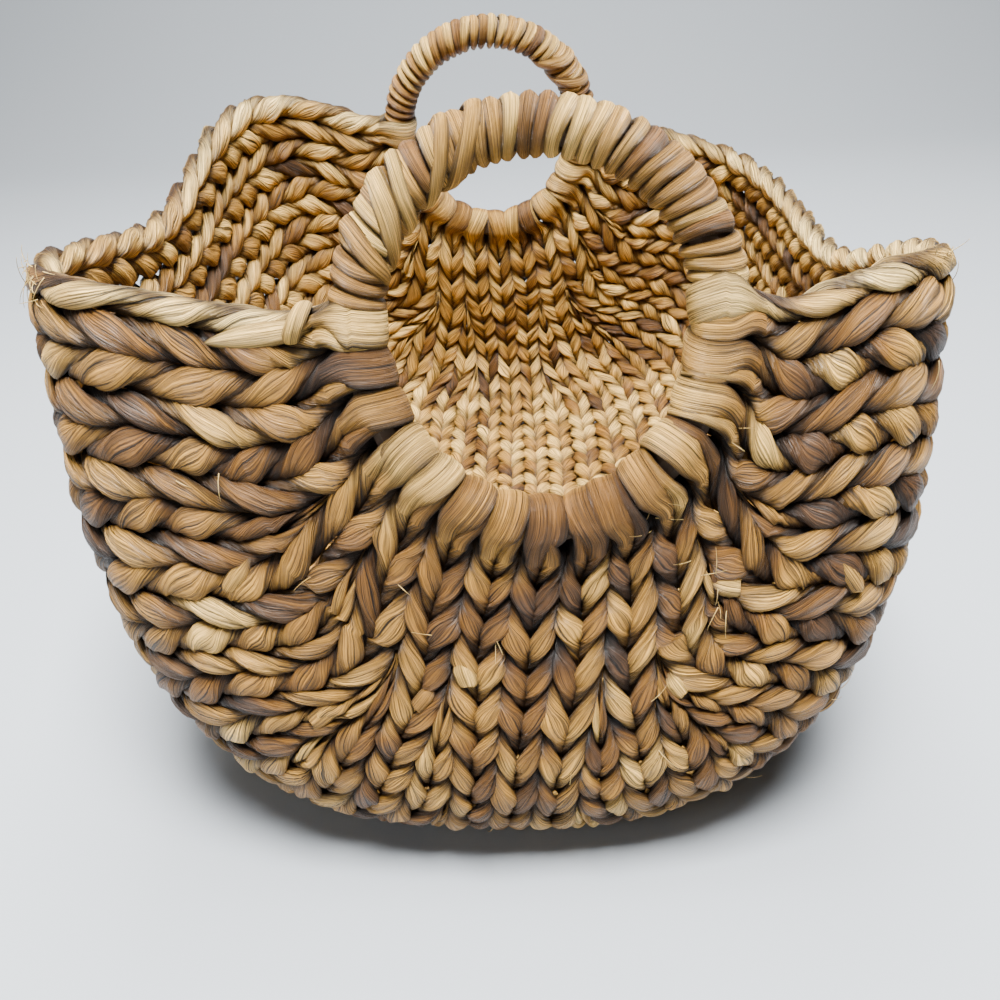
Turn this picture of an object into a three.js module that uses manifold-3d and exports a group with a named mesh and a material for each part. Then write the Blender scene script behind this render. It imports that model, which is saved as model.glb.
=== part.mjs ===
// Half-moon carrier basket of twined water hyacinth, with a bound hoop at the front and the back.
// Millimetres, +Z up. Seen from the front, +X is to the right and the front hoop is at -Y.
// The origin is under the middle of the basket, on the surface that it stands on.
import * as THREE from 'three';
import { mergeVertices } from 'three/addons/utils/BufferGeometryUtils.js';
import Module from 'manifold-3d';

const wasm = await Module();
wasm.setup();

// Hand holes and hoops
const holeHalfWidth = 55;
const holeRise = 52.5; // from the widest level of the hand hole to its top
const holeDrop = 66; // from the widest level of the hand hole to its bottom
const coreRadius = 7.2; // stiff ring inside the binding
const bindingThickness = 4; // from the core to the outside of the binding
const hoopLean = 14; // degrees, the tops lean towards each other
const hoopHalfSpan = 198; // from the middle of the basket to a hoop at its widest level
const frontHoopShift = 23; // the front hoop sits to the right of the middle
const backHoopShift = -6;

// Body, measured to the middle of the woven wall
const endHalfWidth = 187; // from the middle of the basket to its ends
const bodyDepth = 254; // from the widest level of the hoops down to the bottom
const wallThickness = 13;
const frontBulge = 32; // how far the front and back swell past the hoops
const moonRoundness = 3; // 2 is an ellipse across the basket, more is squarer
const rimRoundness = 4.9; // the same for the rims, seen from above
const bottomRoundness = 6; // the same for a section from front to back
const roundnessFade = 3.4;
const leftEndDip = 5; // the end rims hang below the hoops' widest level
const rightEndDip = 35;
const frontLeftPeak = 25; // how far each corner of the rim is drawn up
const frontRightPeak = 46;
const backLeftPeak = 32;
const backRightPeak = 8;
const peakReach = 0.83; // share of a side that a drawn-up corner lifts
const restCut = 2; // the bottom rows are pressed flat by this much

// Rows: each is a pair of twisted strands, and one of the two rims is the first and the last.
// A row starts at the hoop, or further down between two that do. The list runs from a rim to
// the middle row, and gives the share of the way from the hoop to the middle of the basket.
const halfRowStarts = [0, 0, 0, 0.09, 0, 0.09, 0, 0.18, 0.27, 0.18, 0, 0.18, 0.36, 0];
const rimAngle = 97; // degrees round the hoop from its lowest point to the end of the rim row
const startWidthShare = 0.06; // a row that starts between others starts this narrow
const wideningLength = 0.18;
const gap = 0.3; // between two pieces that touch
const bandBite = 0.5; // from the room for the core to the end of a row's band in its loop
const bandClear = 0.6; // from a loop's outside to where its band starts to turn into the wall
const bandInset = 0.3; // the end of a band is narrower than its loop, on each side
const ridgeInset = 0.25; // each of a row's two strands is a ridge, this share of the width from its side
const grooveHeight = 0.5; // share of half the thickness that stays in the grooves beside the ridges
const insideHeight = 0.8; // share of half the thickness at the inside of a row, which is plain

// Stakes that the rows are twined round, and where they cross the rows
const stakeWidth = 3.2;
const stakePlaces = { front_stake: 0.64, back_stake: 1.36 };
const roomPast = 1.5; // the room for a stake is cut past the sides of a row by this much

// Binding of the handles: one unbroken strand for each handle
const bindingLoops = 22;
const bindingLoopGap = 0.6;
const bindingTailLength = 5; // the ends run straight along the hoop for about a strand's width
const bindingTurnIn = 3.2; // the bend between the last loop and its straight end
const bindingClear = 1.1; // from the core to the corners of the binding
const bindingFootShare = 0.92; // the strand's inside is narrower than its middle

// Facets
const cutTolerance = 0.02; // slivers thinner than this are closed after the cuts
const rowSteps = [0, 0.09, 0.18, 0.27, 0.36, 0.5, 0.64, 0.8, 1];
const hoopSides = 8;
const handleSegments = 16;
const loopSteps = 8;

const hoopRadius = coreRadius + bindingThickness;
const hoopHalfWidth = holeHalfWidth + hoopRadius;
const hoopRise = holeRise + hoopRadius;
const hoopDrop = holeDrop + hoopRadius;
const hoopLevel = bodyDepth + wallThickness / 2 - restCut;
const leanSlope = Math.tan(THREE.MathUtils.degToRad(hoopLean));
const rimTurn = THREE.MathUtils.degToRad(rimAngle);
const rowStarts = [...halfRowStarts, 0, ...[...halfRowStarts].reverse()];
const rowCount = rowStarts.length;
const hoopedRows = rowStarts.filter((start) => start === 0).length;
const pathSteps = [...rowSteps, ...rowSteps.slice(0, -1).reverse().map((step) => 2 - step)];

function vector(x, y, z) {
  return new THREE.Vector3(x, y, z);
}

// Centre line of a hoop: an egg in a leaning plane. The turn is measured from the lowest point,
// towards +X, and side is -1 for the front hoop and 1 for the back one.
function hoopPoint(turn, side) {
  const height = -Math.cos(turn) * (Math.cos(turn) > 0 ? hoopDrop : hoopRise);
  const shift = side < 0 ? frontHoopShift : backHoopShift;
  const out = hoopHalfSpan - height * leanSlope;
  return vector(shift + hoopHalfWidth * Math.sin(turn), side * out, hoopLevel + height);
}

// Axes of a hoop's section: along the hoop, away from the hand hole, and out of the basket
function hoopFrame(turn, side) {
  const small = 1e-4;
  const along = hoopPoint(turn + small, side).sub(hoopPoint(turn - small, side)).normalize();
  const out = vector(0, side, leanSlope).normalize();
  const fromHole = new THREE.Vector3().crossVectors(along, out).multiplyScalar(-side).normalize();
  return { along, fromHole, out };
}

// Point at a distance from a hoop's centre line, at an angle round it from the side away from
// the hole. The angles of the back hoop mirror those of the front one.
function nearHoop(turn, side, radius, angle) {
  const { fromHole, out } = hoopFrame(turn, side);
  return hoopPoint(turn, side)
    .addScaledVector(fromHole, radius * Math.cos(angle))
    .addScaledVector(out, side * radius * Math.sin(angle));
}

// Share of the way across and along a squircle quarter, at a place 0..1 on it
function squircle(place, power) {
  const angle = place < 0.5 ? Math.atan(2 * place) : Math.PI / 2 - Math.atan(2 * (1 - place));
  const size = (Math.sin(angle) ** power + Math.abs(Math.cos(angle)) ** power) ** (-1 / power);
  return { across: size * Math.sin(angle), along: size * Math.cos(angle), corner: Math.sin(2 * angle) ** 2 };
}

// Middle surface of the wall. The spread is -1 at the left rim and 1 at the right one, and the
// place is 0 at the front hoop, 1 in the middle of the basket and 2 at the back hoop. Each line
// of equal spread goes from the hoop to the half-moon outline, rounded as a squircle.
function wallPoint(spread, place) {
  const side = place < 1 ? -1 : 1;
  const edge = Math.abs(spread);
  const power = bottomRoundness + (rimRoundness - bottomRoundness) * edge ** roundnessFade;
  const { across, along, corner } = squircle(Math.min(place, 2 - place), power);
  const start = hoopPoint(rimTurn * spread, side);
  const outline = (Math.PI / 2) * spread;
  const reach = (Math.abs(Math.sin(outline)) ** moonRoundness + Math.abs(Math.cos(outline)) ** moonRoundness)
    ** (-1 / moonRoundness);
  const endLevel = hoopLevel - (spread < 0 ? leftEndDip : rightEndDip);
  const endX = endHalfWidth * reach * Math.sin(outline);
  const endZ = endLevel - (endLevel - hoopLevel + bodyDepth) * reach * Math.cos(outline);
  const frontPeak = spread < 0 ? frontLeftPeak : frontRightPeak;
  const backPeak = spread < 0 ? backLeftPeak : backRightPeak;
  const lift = (side < 0 ? frontPeak : backPeak) * Math.max(0, 1 - (1 - edge) / peakReach) ** 2;
  return vector(
    THREE.MathUtils.lerp(start.x, endX, across),
    start.y * along + side * frontBulge * corner * (1 - edge * edge),
    THREE.MathUtils.lerp(start.z, endZ, across) + lift * corner,
  );
}

// Axes of the wall at a point: across the rows, and out of the basket
function wallFrame(spread, place) {
  const small = 1e-3;
  const across = wallPoint(Math.min(spread + small, 1), place)
    .sub(wallPoint(Math.max(spread - small, -1), place));
  const before = wallPoint(spread, Math.max(place - small, 0));
  const after = wallPoint(spread, Math.min(place + small, 2));
  const along = after.sub(before);
  return { across: across.normalize(), out: new THREE.Vector3().crossVectors(along, across).normalize() };
}

// Share of a full row's width that a row has at a place
function rowWeight(row, place) {
  const start = rowStarts[row];
  const fromHoop = Math.min(place, 2 - place);
  if (start === 0) return 1;
  if (fromHoop < start - 1e-6) return 0;
  const grown = THREE.MathUtils.smoothstep(fromHoop, start, start + wideningLength);
  return THREE.MathUtils.lerp(startWidthShare, 1, grown);
}

// Spread of each line between two rows at a place: the rows share the wall by their weights
function rowEdges(place) {
  const weights = rowStarts.map((_, row) => rowWeight(row, place));
  const total = weights.reduce((sum, weight) => sum + weight, 0);
  let sum = 0;
  return [-1, ...weights.map((weight) => {
    sum += weight;
    return -1 + (2 * sum) / total;
  })];
}

// Closed solid through rings of points, each ring counterclockwise seen against the way along.
// The first point of a ring sees all the others, because the end faces are fans from it. A face
// is split on one diagonal, and those of the turned sides on the other.
function solidThrough(rings, closed = false, turnedSides = []) {
  const sides = rings[0].length;
  const positions = rings.flat().flatMap((point) => [point.x, point.y, point.z]);
  const index = [];
  const steps = closed ? rings.length : rings.length - 1;
  for (let step = 0; step < steps; step += 1) {
    for (let side = 0; side < sides; side += 1) {
      const a = step * sides + side;
      const b = step * sides + ((side + 1) % sides);
      const c = ((step + 1) % rings.length) * sides + side;
      const d = ((step + 1) % rings.length) * sides + ((side + 1) % sides);
      if (turnedSides.includes(side)) index.push(a, b, c, b, d, c);
      else index.push(a, b, d, a, d, c);
    }
  }
  if (!closed) {
    const last = (rings.length - 1) * sides;
    for (let side = 1; side < sides - 1; side += 1) {
      index.push(0, side + 1, side, last, last + side, last + side + 1);
    }
  }
  const geometry = new THREE.BufferGeometry();
  geometry.setAttribute('position', new THREE.Float32BufferAttribute(positions, 3));
  geometry.setIndex(index);
  return geometry;
}

function toManifold(geometry) {
  const bare = geometry.clone();
  bare.deleteAttribute('normal');
  bare.deleteAttribute('uv');
  const merged = mergeVertices(bare, 1e-4);
  return new wasm.Manifold(new wasm.Mesh({
    numProp: 3,
    vertProperties: new Float32Array(merged.attributes.position.array),
    triVerts: new Uint32Array(merged.index.array),
  }));
}

function toGeometry(manifold) {
  const mesh = manifold.getMesh();
  const geometry = new THREE.BufferGeometry();
  geometry.setAttribute('position', new THREE.Float32BufferAttribute(mesh.vertProperties, 3));
  geometry.setIndex(Array.from(mesh.triVerts));
  return geometry;
}

// Ring of points round a hoop's centre line
function hoopRing(turn, side, radius) {
  return Array.from({ length: hoopSides }, (_, index) => (
    nearHoop(turn, side, radius, (2 * Math.PI * (index + 0.5)) / hoopSides)
  ));
}

// Turns at which the row loops meet, which are the corners of the hoop's lower half too
function loopTurn(index) {
  return rimTurn * (-1 + (2 * index) / hoopedRows);
}

function hoopGeometry(side) {
  const turns = Array.from({ length: hoopedRows }, (_, index) => loopTurn(index));
  for (let step = 0; step < handleSegments; step += 1) {
    turns.push(rimTurn + ((2 * Math.PI - 2 * rimTurn) * step) / handleSegments);
  }
  return solidThrough(turns.map((turn) => hoopRing(turn, side, coreRadius)), true);
}

// Loop that a row makes round the hoop, and the room for the hoop's core in it
function rowLoop(index, side) {
  const half = gap / 2 / hoopHalfWidth;
  const turns = [loopTurn(index) + half, loopTurn(index + 1) - half];
  return toManifold(solidThrough(turns.map((turn) => hoopRing(turn, side, hoopRadius))));
}

function coreRoom(index, side) {
  const turns = [loopTurn(index), loopTurn(index + 1)];
  return toManifold(solidThrough(turns.map((turn) => hoopRing(turn, side, coreRadius + gap))));
}

// Point on the edge line between two rows, with the axes there. Beside a hoop, at a distance
// from its centre line, the edge line is square to the hoop like the faces of the loops.
function edgeSpot(spread, { place, fromHoop }) {
  if (fromHoop === undefined) return { point: wallPoint(spread, place), ...wallFrame(spread, place) };
  const side = place < 1 ? -1 : 1;
  const { along, out } = hoopFrame(rimTurn * spread, side);
  return { point: nearHoop(rimTurn * spread, side, fromHoop, 0), across: along, out };
}

// One section of a row between its two edge lines. Outside it has a ridge for each of its two
// strands, with a groove between them, and inside it is plain. Where a row starts between two
// others it is as low as their grooves. The section starts with the groove in the middle.
function rowSection(row, station) {
  const edges = rowEdges(station.place);
  const ridgeHeight = THREE.MathUtils.lerp(grooveHeight, 1, rowWeight(row, station.place));
  const [left, right] = [[edges[row], 1], [edges[row + 1], -1]].map(([spread, inward]) => {
    const { point, across, out } = edgeSpot(spread, station);
    return { point: point.addScaledVector(across, inward * (gap / 2 + (station.inset ?? 0))), out };
  });
  const corner = (share, level) => left.point.clone().lerp(right.point, share)
    .addScaledVector(left.out.clone().lerp(right.out, share).normalize(), (level * wallThickness) / 2);
  return [
    corner(0.5, grooveHeight),
    corner(ridgeInset, ridgeHeight),
    corner(0, grooveHeight),
    corner(0, -insideHeight),
    corner(1, -insideHeight),
    corner(1, grooveHeight),
    corner(1 - ridgeInset, ridgeHeight),
  ];
}
const leftSide = 2; // the side of the section that lies against the row to the left

function stakeSection(spread, place, width) {
  const point = wallPoint(spread, place);
  const { across, out } = wallFrame(spread, place);
  const along = new THREE.Vector3().crossVectors(out, across).normalize();
  return [[1, -1], [1, 1], [-1, 1], [-1, -1]].map(([a, b]) => point.clone()
    .addScaledVector(along, (a * width) / 2)
    .addScaledVector(out, (b * width) / 2));
}

// Spreads at which a stake is drawn: its ends in the middle of the two rims, and each line
// between two rows
function stakeSpreads(place) {
  const edges = rowEdges(place);
  return [(edges[0] + edges[1]) / 2, ...edges.slice(1, -1), (edges[rowCount - 1] + edges[rowCount]) / 2];
}

// Room for the part of a stake that lies in a row. It runs out of the row on both sides, and
// in a rim on one side.
function stakeRoom(row, place) {
  const spreads = stakeSpreads(place).slice(row, row + 2);
  const [from, to] = spreads.map((spread) => wallPoint(spread, place));
  const way = to.sub(from).normalize();
  const sections = spreads.map((spread) => stakeSection(spread, place, stakeWidth + 2 * gap));
  const pastStart = row === 0 ? gap : roomPast;
  const pastEnd = row === rowCount - 1 ? gap : roomPast;
  for (const corner of sections[0]) corner.addScaledVector(way, -pastStart);
  for (const corner of sections[1]) corner.addScaledVector(way, pastEnd);
  return toManifold(solidThrough(sections));
}

// Block under the floor, large enough to cut every row that reaches below it
const floorBlock = new THREE.BoxGeometry(4 * endHalfWidth, 4 * hoopHalfSpan, bodyDepth);
floorBlock.translate(0, 0, -bodyDepth / 2);
const belowFloor = toManifold(floorBlock);

// Where the sections of a row are: places on the wall, and for a row with loops also two beside
// each hoop, one inside the wall of the loop and one just outside the loop
function rowStations(row) {
  const stations = pathSteps.filter((place) => rowWeight(row, place) > 0).map((place) => ({ place }));
  if (rowStarts[row] > 0) return stations;
  const beside = [
    { fromHoop: coreRadius + gap + bandBite, inset: bandInset },
    { fromHoop: hoopRadius + bandClear },
  ];
  const atFront = beside.map((station) => ({ place: 0, ...station }));
  const atBack = beside.map((station) => ({ place: 2, ...station })).reverse();
  return [...atFront, ...stations.slice(1, -1), ...atBack];
}

function rowGeometry(row) {
  const sections = rowStations(row).map((station) => rowSection(row, station));
  let solid = toManifold(solidThrough(sections, false, [leftSide]));
  if (rowStarts[row] === 0) {
    const index = rowStarts.slice(0, row).filter((start) => start === 0).length;
    for (const side of [-1, 1]) {
      solid = solid.add(rowLoop(index, side)).subtract(coreRoom(index, side));
    }
  }
  for (const place of Object.values(stakePlaces)) {
    if (rowWeight(row, place) > 0) solid = solid.subtract(stakeRoom(row, place));
  }
  return toGeometry(solid.subtract(belowFloor).simplify(cutTolerance));
}

// Path of a handle's binding over the hoop's surface, as pairs of turn along the hoop and angle
// round it: a straight end, the loops at an even pitch, and a straight end
const handleTurn = 2 * Math.PI - 2 * rimTurn;
const handleMeanRadius = (hoopHalfWidth + hoopRise) / 2;
const tailTurn = (bindingTailLength + bindingTurnIn) / handleMeanRadius;
const faceTurn = gap / handleMeanRadius;
const loopPitch = ((handleTurn - 2 * (tailTurn + faceTurn)) * handleMeanRadius) / (bindingLoops + 0.5);
const tightest = Math.min(hoopHalfWidth, hoopRise) - hoopRadius;
const strandWidth = loopPitch * (tightest / handleMeanRadius) - bindingLoopGap;
const strandInner = coreRadius + bindingClear;

function bindingPath() {
  const first = rimTurn + faceTurn;
  const last = 2 * Math.PI - rimTurn - faceTurn;
  const bend = bindingTurnIn / hoopRadius;
  const loops = [];
  const steps = Math.round((bindingLoops + 0.5) * loopSteps);
  for (let step = 0; step <= steps; step += 1) {
    const share = step / steps;
    loops.push({
      turn: THREE.MathUtils.lerp(first + tailTurn, last - tailTurn, share),
      angle: (bindingLoops + 0.5) * 2 * Math.PI * share,
    });
  }
  const lastAngle = loops[loops.length - 1].angle;
  const bendShare = 0.7; // a point of the bend, short of the loop
  const tail = bindingTailLength / handleMeanRadius;
  const tailAndBend = (bindingTailLength + bendShare * bindingTurnIn) / handleMeanRadius;
  const head = [
    { turn: first, angle: -bend },
    { turn: first + tail, angle: -bend },
    { turn: first + tailAndBend, angle: -bendShare * bend },
  ];
  const foot = head.map(({ turn, angle }) => ({ turn: 2 * Math.PI - turn, angle: lastAngle - angle }));
  return [...head, ...loops, ...foot.reverse()];
}

// Rings of the strand: a low arch of five corners, square to the strand's own path
function bindingRings(side) {
  const path = bindingPath();
  const middle = (strandInner + hoopRadius) / 2;
  const points = path.map(({ turn, angle }) => nearHoop(turn, side, middle, angle));
  const foot = bindingFootShare / 2;
  const profile = [[-foot, strandInner], [foot, strandInner], [0.5, middle], [0, hoopRadius], [-0.5, middle]];
  return path.map((spot, index) => {
    const before = points[Math.max(index - 1, 0)];
    const after = points[Math.min(index + 1, points.length - 1)];
    const along = after.clone().sub(before).normalize();
    const out = points[index].clone().sub(hoopPoint(spot.turn, side)).normalize();
    const across = new THREE.Vector3().crossVectors(out, along).normalize();
    return profile.map(([share, radius]) => points[index].clone()
      .addScaledVector(across, share * strandWidth)
      .addScaledVector(out, radius - middle));
  });
}

// Least distance between points of the strand that are more than half a loop apart
function leastGap(rings) {
  let least = Infinity;
  for (let a = 0; a < rings.length; a += 1) {
    const last = Math.min(rings.length, a + 2 * loopSteps);
    for (let b = a + Math.ceil(loopSteps / 2); b < last; b += 1) {
      for (const one of rings[a]) {
        for (const other of rings[b]) least = Math.min(least, one.distanceTo(other));
      }
    }
  }
  return least;
}

const hyacinth = () => new THREE.MeshStandardMaterial({ color: 0xb08a55, roughness: 0.75, metalness: 0 });
const paleHyacinth = () => new THREE.MeshStandardMaterial({ color: 0xd8c08a, roughness: 0.7, metalness: 0 });
const binding = () => new THREE.MeshStandardMaterial({ color: 0xa9824f, roughness: 0.6, metalness: 0 });
const cane = () => new THREE.MeshStandardMaterial({ color: 0x8a6238, roughness: 0.8, metalness: 0 });

const basket = new THREE.Group();

function addPiece(name, geometry, material) {
  const mesh = new THREE.Mesh(geometry, material);
  mesh.name = name;
  basket.add(mesh);
}

for (const [end, side] of [['front', -1], ['back', 1]]) {
  addPiece(`${end}_hoop`, hoopGeometry(side), cane());
  const rings = bindingRings(side);
  console.log(`${end} handle binding: least gap to itself ${leastGap(rings).toFixed(2)} mm`);
  addPiece(`${end}_handle_binding`, solidThrough(rings), binding());
}

for (let row = 0; row < rowCount; row += 1) {
  const isRim = row === 0 || row === rowCount - 1;
  const rimName = row === 0 ? 'left_rim' : 'right_rim';
  const name = isRim ? rimName : `row_${String(row).padStart(2, '0')}`;
  addPiece(name, rowGeometry(row), isRim ? paleHyacinth() : hyacinth());
}

for (const [name, place] of Object.entries(stakePlaces)) {
  const sections = stakeSpreads(place).map((spread) => stakeSection(spread, place, stakeWidth));
  addPiece(name, solidThrough(sections), cane());
}

export default basket;
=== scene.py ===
# Half-moon basket of twined water hyacinth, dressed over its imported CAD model.
# Shapes are worked out in millimetres and turned into metres when a mesh is made.
import math

import bpy
import numpy as np
from mathutils import Matrix
from numpy.random import default_rng


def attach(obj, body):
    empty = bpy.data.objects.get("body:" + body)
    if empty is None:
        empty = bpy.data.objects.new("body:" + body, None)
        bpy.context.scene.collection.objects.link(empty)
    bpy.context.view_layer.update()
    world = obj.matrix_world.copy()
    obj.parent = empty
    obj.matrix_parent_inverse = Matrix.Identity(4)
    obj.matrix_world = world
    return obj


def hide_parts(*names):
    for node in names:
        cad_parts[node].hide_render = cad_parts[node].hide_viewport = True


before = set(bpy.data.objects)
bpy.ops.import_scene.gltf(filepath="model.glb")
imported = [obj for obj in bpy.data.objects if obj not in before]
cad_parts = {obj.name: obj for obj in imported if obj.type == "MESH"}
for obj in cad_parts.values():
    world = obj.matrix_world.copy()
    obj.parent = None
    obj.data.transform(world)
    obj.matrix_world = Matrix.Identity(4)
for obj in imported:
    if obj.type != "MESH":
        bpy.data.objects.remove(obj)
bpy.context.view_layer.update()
print("frame loaded:", len(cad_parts), "nodes")

metresPerMm = 0.001
unitsPerUv = 30.0

# The wall and the hoops, as the CAD model has them
shape = {
    "holeHalfWidth": 55.0, "holeRise": 52.5, "holeDrop": 66.0,
    "coreRadius": 7.2,
    "bindingThickness": 4.0,
    "hoopLean": 14.0,  # degrees
    "hoopHalfSpan": 198.0,
    "frontHoopShift": 23.0, "backHoopShift": -6.0,
    "endHalfWidth": 187.0,
    "bodyDepth": 254.0,
    "wallThickness": 13.0,
    "frontBulge": 32.0,
    "moonRoundness": 3.0, "rimRoundness": 4.9, "bottomRoundness": 6.0, "roundnessFade": 3.4,
    "endDips": (5.0, 35.0),  # left and right
    "frontPeaks": (25.0, 46.0),
    "backPeaks": (32.0, 8.0),
    "peakReach": 0.83,
    "restCut": 2.0,
    "halfRowStarts": (0, 0, 0, 0.09, 0, 0.09, 0, 0.18, 0.27, 0.18, 0, 0.18, 0.36, 0),
    "rimAngle": 97.0,  # degrees
    "startWidthShare": 0.06, "wideningLength": 0.18,
}
coreRadius = shape["coreRadius"]
hoopRadius = coreRadius + shape["bindingThickness"]
hoopHalfWidth = shape["holeHalfWidth"] + hoopRadius
hoopRise = shape["holeRise"] + hoopRadius
hoopDrop = shape["holeDrop"] + hoopRadius
wallHalf = shape["wallThickness"] / 2
hoopLevel = shape["bodyDepth"] + wallHalf - shape["restCut"]
leanSlope = math.tan(math.radians(shape["hoopLean"]))
rimTurn = math.radians(shape["rimAngle"])
handleTurn = 2 * math.pi - 2 * rimTurn
rowStarts = [*shape["halfRowStarts"], 0, *reversed(shape["halfRowStarts"])]
rowCount = len(rowStarts)
lastSingle = 2 * rowCount - 1
hoopedRows = rowStarts.count(0)


# Share of the way from low to high, held to 0..1 and eased as 3 share^2 - 2 share^3
def smoothStep(value, low, high):
    share = np.clip((value - low) / (high - low), 0, 1)
    return share * share * (3 - 2 * share)


# Vectors divided by their lengths
def unit(vectors):
    return vectors / np.linalg.norm(vectors, axis=-1, keepdims=True)


# The first value plus a share of the way to the second
def blend(first, second, share):
    return first + (second - first) * share


# Rings of points round a line: its middle plus each axis times its reach. A reach has a row for
# each place along the line and a column for each point of the section.
def sweep(middle, first, firstReach, second, secondReach):
    return (middle[:, None, :] + first[:, None, :] * firstReach[..., None]
            + second[:, None, :] * secondReach[..., None])


# Distances along a line of points: the sums of its steps
def pathLength(points):
    return np.concatenate([[0], np.cumsum(np.linalg.norm(np.diff(points, axis=0), axis=1))])


# Centre line of a hoop. x = shift + half width * sin(turn), height = -cos(turn) * drop or rise,
# y = side * (half span - height * lean slope). The turn starts at the lowest point.
def hoopPoint(turn, side):
    height = -np.cos(turn) * np.where(np.cos(turn) > 0, hoopDrop, hoopRise)
    shift = np.where(side < 0, shape["frontHoopShift"], shape["backHoopShift"])
    x = shift + hoopHalfWidth * np.sin(turn)
    y = side * (shape["hoopHalfSpan"] - height * leanSlope)
    return np.stack([x, y, hoopLevel + height], axis=-1)


# Axes of a hoop's section: along the hoop by a small difference, away from the hand hole, and out
# of the basket, square to the leaning hoop
def hoopFrame(turn, side):
    small = 1e-4
    along = unit(hoopPoint(turn + small, side) - hoopPoint(turn - small, side))
    ones = np.ones_like(along[..., 0])
    out = unit(np.stack([0 * ones, side * ones, leanSlope * ones], axis=-1))
    fromHole = unit(np.cross(along, out)) * -np.asarray(side * ones)[..., None]
    return along, fromHole, out


# Middle surface of the wall. The spread is -1 at the left rim and 1 at the right one, the place is
# 0 at the front hoop, 1 in the middle and 2 at the back hoop. Each line of equal spread runs from
# the hoop to the half-moon outline as a squircle quarter: (sin^n b + cos^n b)^(-1/n) * (sin b, cos b).
def wallPoint(spread, place):
    spread, place = np.broadcast_arrays(np.asarray(spread, float), np.asarray(place, float))
    side = np.where(place < 1, -1.0, 1.0)
    edge = np.abs(spread)
    power = blend(shape["bottomRoundness"], shape["rimRoundness"], edge ** shape["roundnessFade"])
    share = np.clip(np.minimum(place, 2 - place), 0, 1)
    angle = np.where(share < 0.5, np.arctan(2 * share), math.pi / 2 - np.arctan(2 * (1 - share)))
    size = (np.sin(angle) ** power + np.abs(np.cos(angle)) ** power) ** (-1 / power)
    across, along, corner = size * np.sin(angle), size * np.cos(angle), np.sin(2 * angle) ** 2
    start = hoopPoint(rimTurn * spread, side)
    outline = math.pi / 2 * spread
    moon = shape["moonRoundness"]
    reach = (np.abs(np.sin(outline)) ** moon + np.abs(np.cos(outline)) ** moon) ** (-1 / moon)
    endLevel = hoopLevel - np.where(spread < 0, *shape["endDips"])
    endX = shape["endHalfWidth"] * reach * np.sin(outline)
    endZ = endLevel - (endLevel - hoopLevel + shape["bodyDepth"]) * reach * np.cos(outline)
    frontPeak = np.where(spread < 0, *shape["frontPeaks"])
    backPeak = np.where(spread < 0, *shape["backPeaks"])
    nearRim = np.maximum(0, 1 - (1 - edge) / shape["peakReach"]) ** 2
    lift = np.where(side < 0, frontPeak, backPeak) * nearRim
    x = blend(start[..., 0], endX, across)
    y = start[..., 1] * along + side * shape["frontBulge"] * corner * (1 - edge * edge)
    z = blend(start[..., 2], endZ, across) + lift * corner
    return np.stack([x, y, z], axis=-1)


# Axes of the wall by small differences: across the rows, and out of the basket
def wallFrame(spread, place):
    small = 1e-3
    left, right = np.maximum(spread - small, -1), np.minimum(spread + small, 1)
    front, back = np.maximum(place - small, 0), np.minimum(place + small, 2)
    across = wallPoint(right, place) - wallPoint(left, place)
    along = wallPoint(spread, back) - wallPoint(spread, front)
    return unit(across), unit(np.cross(along, across))


# Spreads of the lines between the rows: each row takes its share by its weight at that place,
# which grows to 1 from where the row starts
def rowEdges(place):
    fromHoop = np.minimum(place, 2 - place)
    weights = []
    for start in rowStarts:
        grown = smoothStep(fromHoop, start, start + shape["wideningLength"])
        late = np.where(fromHoop < start - 1e-6, 0, blend(shape["startWidthShare"], 1, grown))
        weights.append(late if start else np.ones_like(fromHoop))
    total = np.cumsum([0 * weights[0], *weights], axis=0)
    return -1 + 2 * total / total[-1]


# New object in the scene
def addObject(name, data):
    made = bpy.data.objects.new(name, data)
    bpy.context.scene.collection.objects.link(made)
    return made


# A tube with two ends, as makePiece reads it
def openTube(rings, length, lines, tone, shade):
    return {"rings": rings, "closed": False, "length": length, "lines": np.full(len(rings), lines),
            "tone": np.clip(tone, 0, 1), "shade": shade}


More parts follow.
